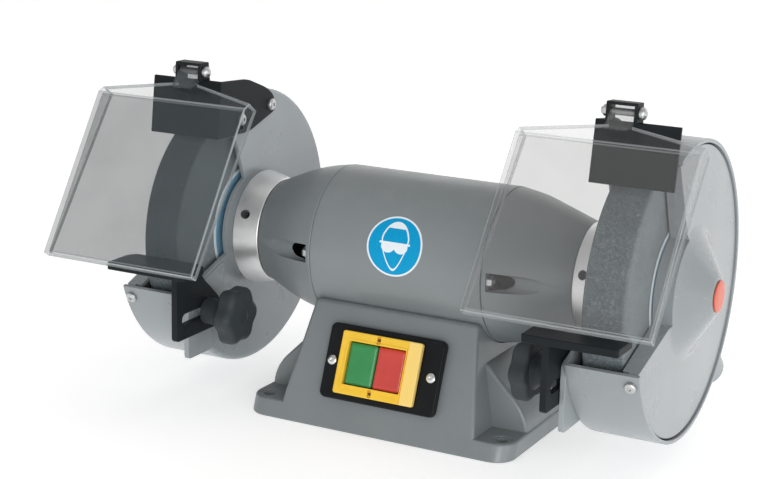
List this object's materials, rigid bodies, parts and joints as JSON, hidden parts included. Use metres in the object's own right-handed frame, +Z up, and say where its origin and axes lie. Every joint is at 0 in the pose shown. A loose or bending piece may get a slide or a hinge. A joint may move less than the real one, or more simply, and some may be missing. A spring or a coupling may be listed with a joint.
{
  "type": "bench grinder",
  "caption": "Double-ended bench grinder with guarded wheels, tilting clear eye shields, sliding tool rests and a push-button switch on a bolt-down base.",
  "frame": {"origin": "middle of the base's underside, under the middle of the shaft", "axes": "+X along the shaft to the right-hand wheel, -Y towards the operator, +Z up"},
  "size_m": [0.4946, 0.2867, 0.274],
  "materials": {
    "grey_paint": "satin",
    "guard_paint": "satin",
    "black_steel": "satin",
    "zinc_steel": "satin",
    "satin_aluminium": "satin",
    "lamination_steel": "matte",
    "copper_winding": "satin",
    "abrasive": "matte",
    "blotter_paper": "matte",
    "black_plastic": "satin",
    "clear_plastic": "polished",
    "yellow_plastic": "gloss",
    "green_plastic": "gloss",
    "red_plastic": "gloss",
    "orange_plastic": "gloss"
  },
  "bodies": {
    "frame": {"base_casting": "grey_paint", "stator_housing": "grey_paint", "end_shield_left": "grey_paint", "end_shield_right": "grey_paint", "guard_left": "guard_paint", "guard_right": "guard_paint", "guard_cover_left": "guard_paint", "guard_cover_right": "guard_paint", "base_cover": "zinc_steel", "plate_screw_left": "zinc_steel", "plate_screw_right": "zinc_steel", "tie_bolt_1": "zinc_steel", "tie_bolt_2": "zinc_steel", "tie_bolt_3": "zinc_steel", "bearing_left": "zinc_steel", "bearing_right": "zinc_steel", "cover_screw_left": "zinc_steel", "cover_screw_right": "zinc_steel", "arrestor_screws_left": "zinc_steel", "arrestor_screws_right": "zinc_steel", "hub_ring_left": "satin_aluminium", "hub_ring_right": "satin_aluminium", "stator_core": "lamination_steel", "winding_left": "copper_winding", "winding_right": "copper_winding", "capacitor": "black_plastic", "switch_plate": "black_plastic", "switch_body": "black_plastic", "switch_frame": "yellow_plastic", "cover_cap_left": "orange_plastic", "cover_cap_right": "orange_plastic"},
    "rotor": {"shaft": "zinc_steel", "rotor_core": "lamination_steel", "inner_flange_left": "zinc_steel", "outer_flange_left": "zinc_steel", "inner_blotter_left": "blotter_paper", "outer_blotter_left": "blotter_paper", "wheel_left": "abrasive", "wheel_nut_left": "zinc_steel", "inner_flange_right": "zinc_steel", "outer_flange_right": "zinc_steel", "inner_blotter_right": "blotter_paper", "outer_blotter_right": "blotter_paper", "wheel_right": "abrasive", "wheel_nut_right": "zinc_steel"},
    "start_button": {"start_button": "green_plastic"},
    "stop_button": {"stop_button": "red_plastic"},
    "spark_arrestor_left": {"spark_arrestor_left": "black_steel", "shield_clip_left": "black_steel", "shield_pin_left": "zinc_steel"},
    "eye_shield_left": {"eye_shield_left": "clear_plastic"},
    "tool_rest_left": {"tool_rest_left": "black_steel"},
    "rest_knob_left": {"rest_knob_left": "black_plastic"},
    "spark_arrestor_right": {"spark_arrestor_right": "black_steel", "shield_clip_right": "black_steel", "shield_pin_right": "zinc_steel"},
    "eye_shield_right": {"eye_shield_right": "clear_plastic"},
    "tool_rest_right": {"tool_rest_right": "black_steel"},
    "rest_knob_right": {"rest_knob_right": "black_plastic"}
  },
  "joints": [
    {"name": "rotor_spin", "type": "hinge", "parent": "frame", "child": "rotor", "pos_m": [0, 0, 0.128], "axis": [1, 0, 0], "continuous": true},
    {"name": "start_button_press", "type": "slide", "parent": "frame", "child": "start_button", "axis": [0, 0.9348, -0.3552], "range_m": [0, 0.003], "stiffness_N_per_m": 600, "springref_m": -0.001},
    {"name": "stop_button_press", "type": "slide", "parent": "frame", "child": "stop_button", "axis": [0, 0.9348, -0.3552], "range_m": [0, 0.003], "stiffness_N_per_m": 600, "springref_m": -0.001},
    {"name": "spark_arrestor_swing_left", "type": "hinge", "parent": "frame", "child": "spark_arrestor_left", "pos_m": [-0.1565, 0.0145, 0.2275], "axis": [-1, 0, 0], "range_deg": [-1, 7]},
    {"name": "eye_shield_tilt_left", "type": "hinge", "parent": "spark_arrestor_left", "child": "eye_shield_left", "pos_m": [-0.1808, -0.062, 0.262], "axis": [-1, 0, 0], "range_deg": [-4, 50]},
    {"name": "tool_rest_slide_left", "type": "slide", "parent": "frame", "child": "tool_rest_left", "axis": [0, -1, 0], "range_m": [-0.0012, 0.0085]},
    {"name": "rest_knob_turn_left", "type": "hinge", "parent": "frame", "child": "rest_knob_left", "pos_m": [-0.1245, -0.085, 0.0768], "axis": [1, 0, 0], "range_deg": [0, 360]},
    {"name": "spark_arrestor_swing_right", "type": "hinge", "parent": "frame", "child": "spark_arrestor_right", "pos_m": [0.1565, 0.0145, 0.2275], "axis": [-1, 0, 0], "range_deg": [-4.4, 3.6]},
    {"name": "eye_shield_tilt_right", "type": "hinge", "parent": "spark_arrestor_right", "child": "eye_shield_right", "pos_m": [0.1772, -0.05982, 0.26648], "axis": [-1, 0, 0], "range_deg": [-8, 50]},
    {"name": "tool_rest_slide_right", "type": "slide", "parent": "frame", "child": "tool_rest_right", "axis": [0, -1, 0], "range_m": [-0.0012, 0.0085]},
    {"name": "rest_knob_turn_right", "type": "hinge", "parent": "frame", "child": "rest_knob_right", "pos_m": [0.1245, -0.085, 0.0768], "axis": [-1, 0, 0], "range_deg": [0, 360]}
  ]
}
